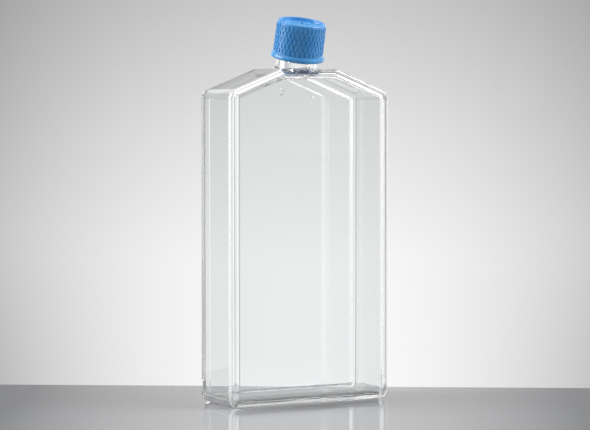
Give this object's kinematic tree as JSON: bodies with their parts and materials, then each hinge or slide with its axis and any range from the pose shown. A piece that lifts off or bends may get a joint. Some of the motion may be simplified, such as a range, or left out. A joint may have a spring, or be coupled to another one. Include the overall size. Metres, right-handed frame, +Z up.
{
  "type": "cell culture flask",
  "caption": "Tall clear rectangular cell culture flask with sloping shoulders, a canted neck and a ribbed blue vented screw cap.",
  "frame": {"origin": "centre of the flat base face that the flask stands on, midway across its width and its depth", "axes": "+Z up towards the neck; +X across the width; -Y out of the wide front face, towards which the neck leans; +Y out of the growth plate's outer face"},
  "size_m": [0.1156, 0.0444, 0.2494],
  "materials": {
    "clear_shell": "gloss",
    "clear_plate": "gloss",
    "blue_cap": "satin",
    "white_membrane": "matte"
  },
  "bodies": {
    "flask": {"flask_shell": "clear_shell", "growth_plate": "clear_plate"},
    "lift": {"vent_membrane": "white_membrane"},
    "screw_cap": {"cap": "blue_cap"}
  },
  "joints": [
    {"name": "cap_lift", "type": "slide", "parent": "flask", "child": "lift", "axis": [0, -0.2588, 0.9659], "range_m": [0, 0.00631]},
    {"name": "cap_turn", "type": "hinge", "parent": "lift", "child": "screw_cap", "pos_m": [0, 0, 0.2153], "axis": [0, -0.2588, 0.9659], "range_deg": [0, 540]}
  ],
  "couplings": [
    {"joint": "cap_lift", "follows": "cap_turn", "m_per_rad": 0.00066845}
  ]
}
